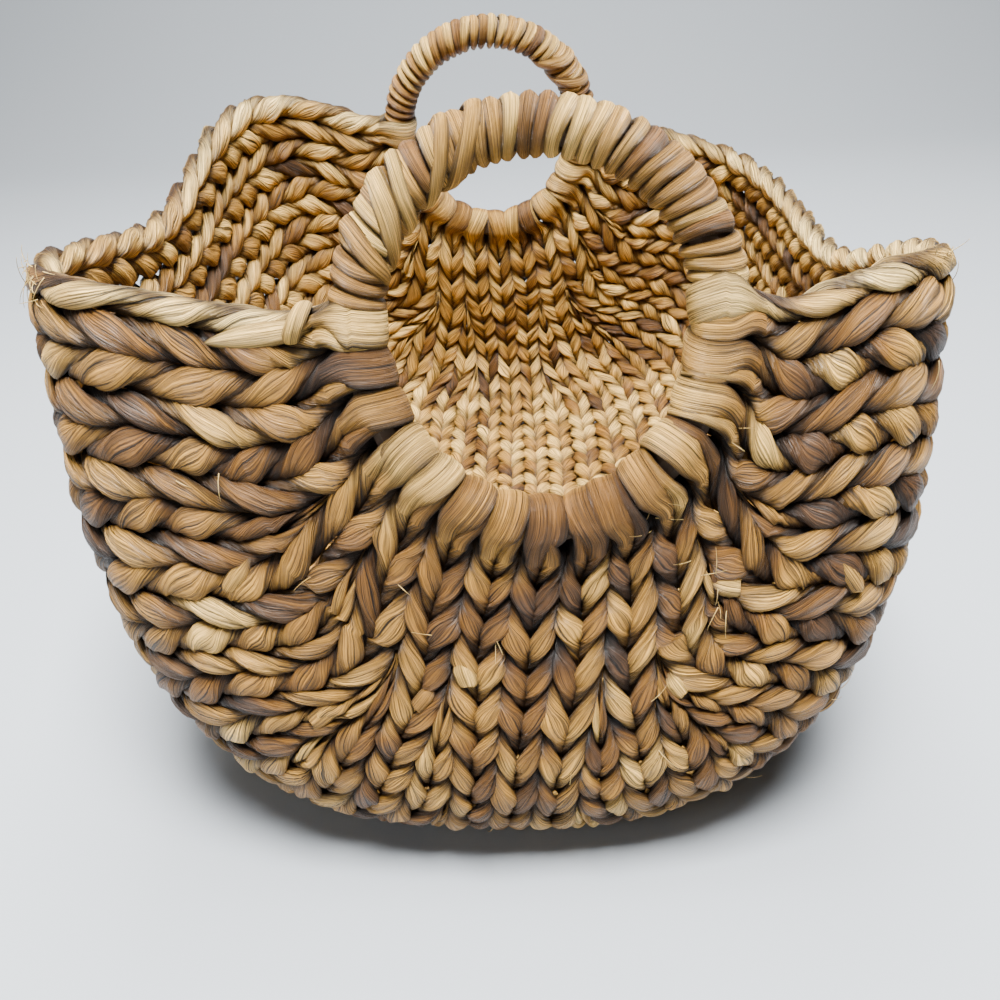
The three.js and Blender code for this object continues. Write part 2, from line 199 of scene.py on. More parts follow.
# Mesh of several tubes. A tube has rings of points, joined by four-sided faces, and closes on
# itself or ends in two caps. The faces are turned outwards by the sign of the tube's volume. The
# UV map runs round the tube, times its "lines", and along its "length".
def makePiece(name, tubes, materials, replaced=()):
    points, corners, sizes, uvs, tones, shades, slots = [], [], [], [], [], [], []
    first = 0
    for tube in tubes:
        rings = tube["rings"]
        count, sides = rings.shape[:2]
        steps = count if tube["closed"] else count - 1
        ring = np.arange(steps)[:, None]
        side = np.arange(sides)[None, :]
        nextRing, nextSide = (ring + 1) % count, (side + 1) % sides
        quads = np.stack([ring * sides + side, ring * sides + nextSide,
                          nextRing * sides + nextSide, nextRing * sides + side], axis=-1)
        length = tube["length"]
        wholeLength = np.append(length, length[-1] + (length[1] - length[0]))
        here, there = wholeLength[:steps, None], wholeLength[1:steps + 1, None]
        lines = np.append(tube["lines"], tube["lines"][0])
        linesHere, linesThere = lines[:steps, None], lines[1:steps + 1, None]
        u0, u1 = side / sides - 0.5, (side + 1) / sides - 0.5
        uvCorners = ((u0, linesHere, here), (u1, linesHere, here),
                     (u1, linesThere, there), (u0, linesThere, there))
        uv = np.stack([np.stack([u * wide, v + 0 * u], axis=-1) for u, wide, v in uvCorners], axis=-2)
        quads, uv = quads.reshape(-1, 4), uv.reshape(-1, 4, 2)
        a, b, c, d = (rings.reshape(-1, 3)[quads[:, corner]] for corner in range(4))
        flip = (a * (np.cross(b, c) + np.cross(c, d))).sum() < 0
        if flip:
            quads, uv = quads[:, ::-1], uv[:, ::-1]
        points.append(rings.reshape(-1, 3))
        corners.append((quads + first).ravel())
        uvs.append(uv.reshape(-1, 2))
        sizes.append(np.full(len(quads), 4))
        if not tube["closed"]:
            for cap, forward in ((np.arange(sides), False), (np.arange(sides) + (count - 1) * sides, True)):
                corners.append((cap if forward != flip else cap[::-1]) + first)
                uvs.append(np.zeros((sides, 2)))
                sizes.append(np.array([sides]))
        slots.append(np.full(len(quads) + (0 if tube["closed"] else 2), tube.get("slot", 0)))
        tones.append(np.broadcast_to(tube["tone"], (count, sides)).ravel())
        shades.append(np.broadcast_to(tube["shade"], (count, sides)).ravel())
        first += count * sides
    points, corners, sizes, uvs = (np.concatenate(part) for part in (points, corners, sizes, uvs))
    starts = np.concatenate([[0], np.cumsum(sizes)[:-1]])
    mesh = bpy.data.meshes.new(name)
    mesh.vertices.add(len(points))
    mesh.vertices.foreach_set("co", (points * metresPerMm).ravel())
    mesh.loops.add(len(corners))
    mesh.loops.foreach_set("vertex_index", corners.astype(np.int32))
    mesh.polygons.add(len(sizes))
    mesh.polygons.foreach_set("loop_start", starts.astype(np.int32))
    mesh.polygons.foreach_set("material_index", np.concatenate(slots).astype(np.int32))
    mesh.uv_layers.new(name="strand").data.foreach_set("uv", uvs.ravel())
    for label, values in (("tone", tones), ("shade", shades)):
        mesh.attributes.new(label, "FLOAT", "POINT").data.foreach_set("value", np.concatenate(values))
    mesh.update(calc_edges=True)
    mesh.shade_smooth()
    piece = addObject(name, mesh)
    for material in materials:
        mesh.materials.append(material)
    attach(piece, "root")
    if replaced:
        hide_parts(*replaced)


# New material and its nodes
def newMaterial(name):
    material = bpy.data.materials.new(name)
    material.use_nodes = True
    return material, material.node_tree


# New node with settings. A key such as inScale or in2 sets that input, or links a socket to it.
def addNode(tree, kind, **settings):
    made = tree.nodes.new(kind)
    for key, value in settings.items():
        name = int(key[2:]) if key[2:].isdigit() else key[2:]
        if not key.startswith("in"):
            setattr(made, key, value)
        elif hasattr(value, "is_output"):
            tree.links.new(value, made.inputs[name])
        else:
            made.inputs[name].default_value = value
    return made


# Finishes of the strands. A kind has its roughness and its colours by tone. A streak is noise
# stretched on the strand's own UV map: its scale across and along, its detail, and its low and high
# value with what each multiplies the colour by.
finishes = {
    "hyacinthRows": (0.4, [
        (0.0, (0.68, 0.42, 0.11)), (0.25, (0.39, 0.2, 0.035)), (0.5, (0.185, 0.081, 0.0135)),
        (0.75, (0.088, 0.039, 0.011)), (1.0, (0.05, 0.026, 0.014))]),
    "hyacinthRims": (0.4, [
        (0.0, (0.86, 0.6, 0.21)), (0.35, (0.62, 0.37, 0.09)), (0.75, (0.31, 0.15, 0.034)),
        (1.0, (0.16, 0.08, 0.028))]),
    "hyacinthBinding": (0.36, [
        (0.0, (0.80, 0.51, 0.14)), (0.4, (0.51, 0.27, 0.055)), (0.8, (0.22, 0.098, 0.023)),
        (1.0, (0.11, 0.055, 0.022))]),
    "blotch": (55.0, 3.0, 0.34),  # scale, detail, and spread of the tone
    "streaks": {
        "broad": (10.0, 0.5, 3.0, (0.3, 0.7, 0.6, 1.4)),
        "fine": (54.0, 0.8, 5.0, (0.38, 0.6, 0.22, 1.55)),
        "crack": (26.0, 0.45, 2.0, (0.35, 0.42, 0.12, 1.0)),
    },
    # colour that the painted shade darkens a strand towards
    "diveColour": (0.04, 0.024, 0.012),
    "fineRange": (0.3, 0.7),
    "fineRoughness": (0.16, -0.08),  # added at the ends of that range
    "refraction": 1.4,
    "fineBump": 0.7,  # share of the fine streaks in the bump
    "bumpDepth": 0.0026,  # metres
}


# A strand's colour goes by its tone plus a blotch, times its streaks, and is darkened towards a dark
# shade colour by its painted shade, in grooves, at edges and where it dives between others. The streaks
# make the bump too.
def makeStrandMaterial(name):
    roughness, palette = finishes[name]
    material, tree = newMaterial(name)
    tree.nodes.clear()

    def node(kind, output=0, **settings):
        return addNode(tree, kind, **settings).outputs[output]

    def multiplied(factor, first, second):
        return node("ShaderNodeMix", 2, data_type="RGBA", blend_type="MULTIPLY",
                    in0=factor, in6=first, in7=second)

    def ranged(value, low, high, toLow, toHigh):
        return node("ShaderNodeMapRange", in0=value, in1=low, in2=high, in3=toLow, in4=toHigh)

    tone = node("ShaderNodeAttribute", "Fac", attribute_name="tone")
    shade = node("ShaderNodeAttribute", "Fac", attribute_name="shade")
    uvMap = node("ShaderNodeUVMap", uv_map="strand")
    place = node("ShaderNodeTexCoord", "Object")
    scale, detail, spread = finishes["blotch"]
    blotch = node("ShaderNodeTexNoise", "Fac", inVector=place, inScale=scale, inDetail=detail)
    shifted = node("ShaderNodeMath", operation="MULTIPLY_ADD", in0=blotch, in1=spread, in2=-spread / 2)
    toneSum = node("ShaderNodeMath", operation="ADD", use_clamp=True, in0=tone, in1=shifted)
    ramp = addNode(tree, "ShaderNodeValToRGB", in0=toneSum)
    elements = ramp.color_ramp.elements
    elements.remove(elements[0])
    elements[0].position, elements[0].color = palette[0][0], (*palette[0][1], 1)
    for position, colour in palette[1:]:
        elements.new(position).color = (*colour, 1)

    coloured, streaks = ramp.outputs[0], {}
    for label, (wide, long, detail, limits) in finishes["streaks"].items():
        stretched = node("ShaderNodeMapping", inVector=uvMap, inScale=(wide, long, 1))
        streaks[label] = node("ShaderNodeTexNoise", "Fac", inVector=stretched, inScale=1.0,
                              inDetail=detail, inRoughness=0.62)
        factor = ranged(streaks[label], *limits)
        grey = node("ShaderNodeCombineColor", in0=factor, in1=factor, in2=factor)
        coloured = multiplied(1.0, coloured, grey)
    # Painted shade: the colour is darkened towards the dark shade colour by the shade attribute
    coloured = multiplied(shade, coloured, (*finishes["diveColour"], 1))
    ends = [roughness + change for change in finishes["fineRoughness"]]
    height = node("ShaderNodeMath", operation="MULTIPLY_ADD", in0=streaks["fine"],
                  in1=finishes["fineBump"], in2=streaks["broad"])
    bump = node("ShaderNodeBump", inStrength=1.0, inDistance=finishes["bumpDepth"], inHeight=height)
    shader = node("ShaderNodeBsdfPrincipled", in0=coloured, inIOR=finishes["refraction"], inNormal=bump,
                  inRoughness=ranged(streaks["fine"], *finishes["fineRange"], *ends))
    addNode(tree, "ShaderNodeOutputMaterial", in0=shader)
    return material


rowMaterial = makeStrandMaterial("hyacinthRows")
rimMaterial = makeStrandMaterial("hyacinthRims")
bindingMaterial = makeStrandMaterial("hyacinthBinding")
print("strand finishes made")

caneFinish = {
    "scale": 240.0, "detail": 4.0,
    "colours": ((0.03, 0.016, 0.008), (0.09, 0.048, 0.02)), "roughness": 0.8,
}


# Bare cane of hoops and stakes: between its two colours by noise in Object coordinates
def makeCaneMaterial():
    material, tree = newMaterial("bareCane")
    place = addNode(tree, "ShaderNodeTexCoord").outputs["Object"]
    noise = addNode(tree, "ShaderNodeTexNoise", inVector=place, inScale=caneFinish["scale"],
                    inDetail=caneFinish["detail"])
    ramp = addNode(tree, "ShaderNodeValToRGB", in0=noise.outputs["Fac"])
    for element, colour in zip(ramp.color_ramp.elements, caneFinish["colours"]):
        element.color = (*colour, 1)
    shader = tree.nodes["Principled BSDF"]
    shader.inputs["Roughness"].default_value = caneFinish["roughness"]
    tree.links.new(ramp.outputs[0], shader.inputs["Base Color"])
    return material


caneMaterial = makeCaneMaterial()
for nodeName in ("front_hoop", "back_hoop", "front_stake", "back_stake"):
    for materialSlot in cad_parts[nodeName].material_slots:
        materialSlot.material = caneMaterial


# Twined rows. A row has two strands wound round each other and round the stakes. With the row's
# half width a and half thickness b, a strand at twist t has its middle at about half of
# (a * hand * sin(t) across, b * cos(t) out), and t grows by half a turn for each lobe. Its flat
# side turns with t - flatness * sin(2t), so that a lobe lies flat and turns over at its ends.
twine = {
    "sectionPoints": 16, "stepsPerLobe": 9,
    "smoothSteps": 3,  # lobes' places are averaged over them, to each side
    "lobeAtMiddle": 18.5,
    "lobeAtSides": (29.0, 21.0),  # left and right
    "lobeAtRims": (34.0, 24.0),
    "sideSpreads": (0.3, 0.75),  # where rows go over from the middle's look to the sides'
    "hoopApproach": (8.0, 28.0),  # distances where they go over from the hoop to the wall
    "twistStart": 16.0,  # from the middle of the hoop
    "startTwist": 0.26,  # half turns
    "fullness": 1.05,
    "halfDepth": 0.47,  # of a strand, in half thicknesses
    "broadness": 0.96,
    "leafWidth": 0.98, "slimmerAtSide": 0.08,
    "sway": (0.5, 0.45),  # of the half width, in the middle and at the sides
    "diveFilling": (0.32, 0.42),
    "leafTaper": 0.26,  # a lobe's middle is this much wider, and its ends narrower
    "flatLobes": 0.36,  # the flatness above
    "lobeSizeSpread": 0.12, "lobeLengthSpread": 0.24,
    "lobeShift": 0.7,  # across the row
    "lobeLift": 0.6,  # out of the wall, in shares of that
    "lobeTilt": 0.16,
    "ridges": (0.1, 70.0),  # depth and wave
    "rimDrop": 0.15,  # a rim's upper strand is this share of the pair's width lower in front
    "tones": (2.6, 4.0),  # powers of the beta distribution
    "toneCount": 140,
    "otherTones": 60,  # lobes from one strand's tones to the other's
    "darkLobes": 0.08, "darkTones": (0.75, 1.0),
    "toneOfRow": 0.08, "rimTone": -0.12,
    # Painted shade darkens a strand in the grooves between lobes and rows, by its height over the wall's
    # middle, and less on the basket's inside. Painted light makes that inside paler.
    "grooveShade": 0.96, "insideShade": 0.7, "paintedLightInside": 0.2,
    "insideHeights": (-0.2, 0.3),  # shares of the wall's half thickness, as the next
    "grooveReach": (0.35, 1.04),
}
# Ends of the rows that start lower down: they sink between the others and get thinner, and the
# strand turns back in a half circle
shortEnds = {
    "twistStart": 2.0, "length": 30.0,
    "sink": 2.5, "thickness": 0.45, "turnRadius": 1.4, "turnSize": 0.9,
}
# Bands of the strands that go round a hoop
bands = {
    "wideLoop": (1.9, 2.4),  # half widths, in shares of a strand's place on the hoop
    "rimLoop": 2.5, "narrowLoop": (0.8, 1.1),
    "outerWide": 3,  # pairs at each side whose outer row has the wide band
    "shifts": (0.85, -0.2),  # of the wide and the narrow band
    "bulge": 1.4, "slant": 3.5, "sink": 0.9,
    "gap": 0.1,  # to the core
    "lean": (0.5, 1.5),  # lift of one edge of a band
    "finerLines": 1.7,
    # Painted light and shade on the bands: a tone shift that makes them paler at the sides and darker in
    # the middle, and painted shade on a band's inner face and at its edges
    "paler": (-0.1, 0.16),  # in the middle and at the sides
    "edgeShade": 0.9,
}


# Closed section of a strand, a superellipse that is flatter on the inside: x is -1..1 across it
# and y -1..1 from its inside to its back. The first point is in the middle of the inside.
def strandSection(count):
    angle = 2 * math.pi * np.arange(count) / count - math.pi / 2
    x = np.sign(np.cos(angle)) * np.abs(np.cos(angle)) ** 0.85
    y = np.sign(np.sin(angle)) * np.abs(np.sin(angle)) ** np.where(np.sin(angle) < 0, 0.7, 0.95)
    return x, y


# 1 plus a depth times three sines of random phase along a strand, for each column
def slowWaves(rng, length, columns, depth, wave):
    total = 0
    for turns in (1.0, 2.3, 4.1):
        phase = rng.uniform(0, 2 * math.pi, columns)
        total = total + np.sin(2 * math.pi * turns * length[:, None] / wave + phase) / math.sqrt(3)
    return 1 + depth * total


# Values at lobes, blended smoothly between the middles of two lobes
def overLobes(values, lobe):
    low = np.clip(np.floor(lobe).astype(int), 0, len(values) - 1)
    high = np.clip(low + 1, 0, len(values) - 1)
    return blend(values[low], values[high], smoothStep(lobe - low, 0.2, 0.8))


# Middle line of a single row: half width, points and axes at distances along it. It lies midway
# between the row's edges, and close to a hoop it goes over to a line square to the hoop.
def rowLine(single):
    pair, half = divmod(single, 2)
    start = rowStarts[pair]
    place = np.linspace(start, 2 - start, 900)
    edges = rowEdges(place)
    drop = twine["rimDrop"] * (1 - smoothStep(place, 0.5, 1.1))
    lowShare = drop if single == 0 else half / 2
    highShare = 1 - drop if single == lastSingle else (half + 1) / 2
    low, high = (blend(edges[pair], edges[pair + 1], share) for share in (lowShare, highShare))
    spread = (low + high) / 2
    points = wallPoint(spread, place)
    distance = pathLength(points)
    halfWidth = np.linalg.norm(wallPoint(high, place) - wallPoint(low, place), axis=1) / 2
    across, out = wallFrame(spread, place)
    if start == 0:
        nearest, farthest = twine["hoopApproach"]
        for side, end, fromEnd in ((-1.0, 0, distance), (1.0, -1, distance[-1] - distance)):
            turn = np.array(rimTurn * spread[end])
            along, fromHole, hoopOut = hoopFrame(turn, side)
            fromEnd = fromEnd[:, None]
            straight = hoopPoint(turn, side) + fromHole * fromEnd
            share = smoothStep(fromEnd, nearest, farthest)
            near = fromEnd < farthest
            points = np.where(near, blend(straight, points, share), points)
            across = unit(np.where(near, blend(along, across, share), across))
            out = unit(np.where(near, blend(hoopOut, out, share), out))
    table = np.column_stack([halfWidth, points, across, out])
    return {"distance": distance, "table": table, "length": distance[-1], "looped": start == 0}


# Half width, points and axes of a row's line at other distances, by straight interpolation
def sampleLine(line, distance):
    columns = [np.interp(distance, line["distance"], column) for column in line["table"].T]
    table = np.stack(columns, axis=-1)
    return table[:, 0], table[:, 1:4], unit(table[:, 4:7]), unit(table[:, 7:])


# Where along its line a single row is at each step of its twist, with uneven lobes. The middle
# pairs have the same in both rows, and make a V.
def twistPlaces(single, line, lead):
    pair = single // 2
    fromMiddle = abs(pair - (rowCount - 1) / 2) / ((rowCount - 1) / 2)
    rng = default_rng(500 + (pair if fromMiddle < 0.5 else 100 + single))
    atSide = twine["lobeAtSides"][0 if pair < rowCount / 2 else 1]
    lobeLength = blend(twine["lobeAtMiddle"], atSide, fromMiddle)
    if single in (0, lastSingle):
        lobeLength = twine["lobeAtRims"][0 if single == 0 else 1]
    twisted = line["length"] - 2 * lead
    lobes = int(round(twisted / lobeLength))
    shares = 1 + twine["lobeLengthSpread"] * rng.uniform(-1, 1, lobes)
    turnsAt = np.concatenate([[0], np.cumsum(shares)]) / shares.sum()
    lobe = np.arange(lobes * twine["stepsPerLobe"] + 1) / twine["stepsPerLobe"]
    along = lead + twisted * np.interp(lobe, np.arange(lobes + 1), turnsAt)
    window = 2 * twine["smoothSteps"] + 1
    padded = np.pad(along, twine["smoothSteps"], mode="reflect", reflect_type="odd")
    return lobes, lobe, np.convolve(padded, np.ones(window) / window, mode="valid")


# One single row as one closed strand: down the row on one side of the twist, round the back hoop,
# back on the other side and round the front hoop
def rowStrand(single, toneShift):
    hand = 1 if single % 2 == 0 else -1
    rng = default_rng(1000 + single)
    line = rowLine(single)
    lead = twine["twistStart"] if line["looped"] else shortEnds["twistStart"]
    lobes, lobe, along = twistPlaces(single, line, lead)
    halfWidth, middle, across, out = sampleLine(line, along)
    halfThickness = wallHalf * np.ones_like(along)
    if not line["looped"]:
        fromEnd = np.minimum(along, line["length"] - along)
        rise = smoothStep(fromEnd, 0, shortEnds["length"])
        middle = middle - out * (1 - rise)[:, None] * shortEnds["sink"]
        halfThickness = halfThickness * blend(shortEnds["thickness"], 1, rise)
    x, y = strandSection(twine["sectionPoints"])
    parts = []
    startTwist = twine["startTwist"] if line["looped"] else 0
    atSide = float(smoothStep(abs(single / lastSingle * 2 - 1), *twine["sideSpreads"]))
    leafWidth = twine["leafWidth"] - twine["slimmerAtSide"] * atSide
    sway = blend(*twine["sway"], atSide)
    for strand in (0, 1):
        twist = math.pi * (startTwist + lobe * (1 - 2 * startTwist / lobes) + strand)
        size, tilt, lift, slide = (
            overLobes(rng.uniform(-1, 1, lobes + 2), lobe + 0.5) for _ in range(4))
        uneven = 1 + twine["lobeSizeSpread"] * size
        thick = twine["fullness"] * uneven
        leaf = (leafWidth + twine["leafTaper"] * np.cos(2 * twist)) * uneven
        face = twist - twine["flatLobes"] * np.sin(2 * twist) + twine["lobeTilt"] * tilt
        ease = smoothStep(np.minimum(lobe, lobes - lobe), 0, 1)[:, None] * twine["lobeShift"]
        bed = middle + (out * lift[:, None] * twine["lobeLift"] + across * slide[:, None]) * ease

        def outward(angle, size):
            return (across * (hand * halfWidth * np.sin(angle) * size)[:, None]
                    + out * (halfThickness * np.cos(angle) * size)[:, None])

        sideways = outward(face + math.pi / 2, leaf) * (1 if strand == 0 else -1)
        filling = 1 + blend(*twine["diveFilling"], atSide) * np.sin(twist) ** 2
        swing = across * (hand * halfWidth * np.sin(twist) * sway)[:, None]
        rise = out * (halfThickness * np.cos(twist) * 0.5 * thick)[:, None]
        parts.append({"centre": bed + swing + rise,
                      "thick": outward(face, twine["halfDepth"] * thick * filling),
                      "sideways": sideways, "lift": 0 * sideways, "wall": middle,
                      "out": out / halfThickness[:, None], "band": 0 * lobe,
                      "lobe": lobe + twine["otherTones"] * strand})
    parts[1] = {key: value[::-1] for key, value in parts[1].items()}
    firstSign = 1 if lobes % 2 == 0 else -1  # the first strand comes to the back hoop outside or inside
    joined = [parts[0], hoopPassage(line, single, 1.0, hand, firstSign, lead, rng, parts),
              parts[1], hoopPassage(line, single, -1.0, hand, -1, lead, rng, parts[::-1])]
    station = {key: np.concatenate([part[key] for part in joined]) for key in parts[0]}
    length = pathLength(station["centre"])
    ridges = slowWaves(rng, length, len(x), *twine["ridges"])
    rings = sweep(station["centre"], station["thick"], y * np.where(y > 0.2, ridges, 1),
                  twine["broadness"] * station["sideways"] + station["lift"], x[None, :])
    height = np.einsum("nki,ni->nk", rings - station["wall"][:, None, :], station["out"])
    rings[..., 2] = np.maximum(rings[..., 2], 0)
    # Painted shade: strands are darker in grooves, where they lie low over the wall's middle, and less so
    # on the basket's inside
    inside = smoothStep(-height, *twine["insideHeights"])
    shade = blend(twine["grooveShade"], twine["insideShade"], inside)
    shade = shade * (1 - smoothStep(np.abs(height), *twine["grooveReach"]))
    # Painted shade on a band: all over its inner face, and towards its edges where it meets the next
    bandShade = bands["edgeShade"] * np.where(y < 0, 1, np.abs(x) ** 4)
    shade = np.where(np.isnan(station["lobe"])[:, None], bandShade, shade)
    count = twine["toneCount"]
    lobeTone = rng.beta(*twine["tones"], count)
    isDark = rng.random(count) < twine["darkLobes"]
    lobeTone = np.where(isDark, rng.uniform(*twine["darkTones"], count), lobeTone)
    tone = overLobes(lobeTone, np.nan_to_num(station["lobe"]) * 0.5 + 0.25)  # a tone for two lobes
    known = np.flatnonzero(~np.isnan(station["lobe"]))
    tone = np.interp(np.arange(len(tone)), known, tone[known], period=len(tone))
    # Painted light: bands are paler at the sides than in the middle
    paler = blend(*bands["paler"], atSide)
    own = rng.uniform(-twine["toneOfRow"], twine["toneOfRow"])
    tone = tone + own + toneShift - paler * station["band"]
    # Painted light: the side of each strand that faces the basket's inside is paler
    return {"rings": rings, "closed": True, "length": length / unitsPerUv + rng.uniform(0, 20),
            "lines": 1 + bands["finerLines"] * station["band"],
            "tone": np.clip(tone[:, None] - twine["paintedLightInside"] * inside, 0, 1), "shade": shade}


# Turn back of a strand whose row starts lower down, on a half circle round the sunken end
def tuckedTurn(line, atStart, hand, firstSign):
    end = 0.0 if atStart else line["length"]
    width, point, across, out = (value[0] for value in sampleLine(line, np.array([end])))
    angle = np.linspace(0, math.pi, 5)[1:-1]
    radial = out * (firstSign * np.cos(angle))[:, None]
    count = len(angle)
    return {"centre": point - out * shortEnds["sink"] + shortEnds["turnRadius"] * radial,
            "thick": shortEnds["turnSize"] * radial, "lift": 0 * radial,
            "sideways": np.tile(across * hand * width * shortEnds["turnSize"], (count, 1)),
            "wall": np.tile(point, (count, 1)), "out": np.tile(out, (count, 1)),
            "band": np.zeros(count), "lobe": np.full(count, np.nan)}


# Passage of a strand round a hoop: a half circle on its core, through the hand hole, between two
# legs that go over to the row. At a reach of -1 to 1 it is shifted along the hoop by
# shift * cos^2(90 reach) + slant * sin(180 reach). Of a pair's bands one is wide and lies on top.
def hoopPassage(line, single, side, hand, firstSign, lead, rng, parts):
    if not line["looped"]:
        return tuckedTurn(line, side < 0, hand, firstSign)
    pair, half = divmod(single, 2)
    looped = rowStarts[:pair].count(0)
    room = rimTurn * hoopHalfWidth / (2 * hoopedRows)
    wideHalf = default_rng(int(300 + 2 * pair + (side > 0))).integers(0, 2)
    if min(pair, rowCount - 1 - pair) < bands["outerWide"]:
        wideHalf = 0 if pair < rowCount / 2 else 1
    isWide = wideHalf == half
    bandWidth = room * rng.uniform(*bands["wideLoop" if isWide else "narrowLoop"])
    if pair in (0, rowCount - 1):
        bandWidth = room * bands["rimLoop"] * (1 if isWide else 0.6)
    bandShift = room * (1 - 2 * half) * bands["shifts"][0 if isWide else 1]
    sink = 0.0 if isWide else bands["sink"]
    bulge = rng.uniform(0.2, 1) * bands["bulge"] - sink
    slant = rng.uniform(-1, 1) * bands["slant"]
    ownTurn = np.array(rimTurn * (-1 + (2 * looped + half + 0.5) / hoopedRows))
    lean = rng.uniform(*bands["lean"]) * (1 if ownTurn < 0 else -1)
    inner, outer = coreRadius + bands["gap"] - sink, hoopRadius - sink
    keep = firstSign if side > 0 else 1  # the band's sideways axis keeps its direction
    halfArc = math.pi / 2 * (inner + outer) / 2

    def shifted(reach):
        return bandShift * np.cos(math.pi / 2 * reach) ** 2 + slant * np.sin(math.pi * reach)

    legs = []
    for sign, part, row in ((-1, parts[0], -1), (1, parts[1], 0)):
        fromHoop = lead * np.linspace(1, 0, 10)[1:-1]
        reach = sign * (fromHoop + halfArc) / (lead + halfArc)
        distance = fromHoop if side < 0 else line["length"] - fromHoop
        _, legMiddle, legAlong, legOut = sampleLine(line, distance)
        leg = smoothStep(fromHoop, 0.1 * lead, lead)[:, None]
        face = -sign * firstSign
        bandRise = legAlong * shifted(reach)[:, None] + legOut * face * (inner + outer) / 2
        leg = {"centre": legMiddle + blend(bandRise, part["centre"][row] - part["wall"][row], leg),
               "thick": blend(legOut * face * (outer - inner) / 2, part["thick"][row], leg),
               "sideways": blend(legAlong * hand * keep * bandWidth, part["sideways"][row], leg),
               "lift": legOut * face * lean * (1 - leg), "band": 1 - leg[:, 0]}
        legs.append(leg if sign < 0 else {key: value[::-1] for key, value in leg.items()})
    angle = np.linspace(0, math.pi, 13)
    reach = (angle / (math.pi / 2) - 1) * halfArc / (lead + halfArc)
    along, away, out = hoopFrame(ownTurn, side)
    swell = bulge * np.sin(angle)
    radial = out * (firstSign * np.cos(angle))[:, None] - away * np.sin(angle)[:, None]
    arc = {"centre": (hoopPoint(ownTurn, side) + along * shifted(reach)[:, None]
                      + radial * ((inner + outer + swell) / 2)[:, None]),
           "thick": radial * ((outer + swell - inner) / 2)[:, None],
           "sideways": np.tile(along * hand * keep * bandWidth, (len(angle), 1)),
           "lift": radial * lean, "band": np.ones(len(angle))}
    joined = {key: np.concatenate([legs[0][key], arc[key], legs[1][key]]) for key in arc}
    count = len(joined["centre"])
    joined["wall"], joined["out"] = joined["centre"], np.tile(out, (count, 1))
    joined["lobe"] = np.full(count, np.nan)
    return joined


for pair in range(rowCount):
    isRim = pair in (0, rowCount - 1)
    nodeName = {0: "left_rim", rowCount - 1: "right_rim"}.get(pair, f"row_{pair:02d}")
    tubes = []
    for single in (2 * pair, 2 * pair + 1):
        isPale = single in (0, lastSingle)
        tubes.append({**rowStrand(single, twine["rimTone"] if isPale else 0.0), "slot": int(isPale)})
    pieceMaterials = [rowMaterial, rimMaterial] if isRim else [rowMaterial]
    makePiece(nodeName + "_strands", tubes, pieceMaterials, [nodeName])
print("twined rows made:", rowCount)


# Binding of the handles: one strand wound round the core as a helix, each loop leaning on the last
binding = {
    "loops": 33, "stepsPerLoop": 24, "sectionPoints": 14,
    "overlap": 1.18, "widthSpread": 0.16, "outerWidening": 0.2,
    "gap": 0.3,  # to the core
    "thickness": 3.5,
    "edgeDrop": 0.66,  # the strand's edges are this share of its thickness lower
    "lean": 0.7, "ridges": (0.07, 60.0),
    "wobble": 0.12,  # of a loop's pitch, as the next two
    "slant": 0.5, "skew": 0.3,
    "tone": (0.42, 0.42),  # middle and spread
    # painted shade, darkest at the edges of each loop
    "edgeShade": 0.92, "lines": 2.0,
}
# Second layer, wound the other way. Front and back: the first and last loop of the first layer
# that it covers, and its own number of loops.
crossing = {
    "front": (19.5, 31.0, 5),
    "back": (4.0, 9.0, 2),
    "uneven": 0.5,  # of a loop of the first layer, as the next
    "sway": 1.1,
    "halfWidth": 3.6, "widthSpread": 0.25,
    "fromCore": 2.2,
    "rise": 0.9,  # over the first layer
    "edgeDrop": 0.6, "ridges": (0.1, 60.0),
    # painted shade, darkest at the edges of each loop
    "tone": (0.3, 0.3), "edgeShade": 0.9,
}


# At a place along the handle, counted in loops, and an angle round it: the hoop's middle, the
# direction along it, and the one from its middle, cos(angle) from the hole + sin(angle) out
def roundHandle(place, angle, side):
    turn = rimTurn + handleTurn * place / binding["loops"]
    along, fromHole, out = hoopFrame(turn, side)
    radial = fromHole * np.cos(angle)[:, None] + out * (side * np.sin(angle))[:, None]
    return hoopPoint(turn, side), along, radial


# First layer. Its radius is the core's, a gap, the thickness times the section's arch, and the lean.
def bindingStrand(side, seed):
    rng = default_rng(seed)
    loops = binding["loops"]
    loop = np.linspace(-0.5, loops + 0.5, int((loops + 1) * binding["stepsPerLoop"]) + 1)
    wobble, skew, turned, width, toneAt = (
        overLobes(rng.uniform(-1, 1, loops + 3), loop + 1) for _ in range(5))
    angle = 2 * math.pi * loop
    uneven = binding["wobble"] * wobble + binding["skew"] * skew * np.cos(angle + 2 * turned)
    uneven = uneven - binding["slant"] * np.cos(angle)
    middle, along, radial = roundHandle(loop + uneven, angle, side)
    arcLength = handleTurn * (hoopHalfWidth + hoopRise) / 2
    halfWidth = arcLength / loops / 2 * binding["overlap"]
    halfWidth = halfWidth * (1 + binding["widthSpread"] * width)
    halfWidth = halfWidth * (1 + binding["outerWidening"] * np.cos(angle))
    x, y = strandSection(binding["sectionPoints"])
    ends = smoothStep(np.minimum(loop + 0.5, loops + 0.5 - loop), 0, 0.6)
    length = angle * (coreRadius + 2)
    ridges = slowWaves(rng, length, len(x), *binding["ridges"])
    thickness = binding["thickness"] * blend(0.5, 1, ends)
    back = (1 - binding["edgeDrop"] * np.abs(x) ** 2.2) * ridges
    arch = np.where(y > 0, back, 0.1 - 0.3 * np.abs(y))
    low = coreRadius + binding["gap"]
    radius = low + thickness[:, None] * arch + binding["lean"] * x
    rings = sweep(middle, radial, radius, along, halfWidth[:, None] * x)
    tone = binding["tone"][0] + binding["tone"][1] * toneAt
    # Painted shade darkens each loop towards its edges
    return openTube(rings, length / unitsPerUv, binding["lines"], tone[:, None],
                    binding["edgeShade"] * np.abs(x) ** 3)


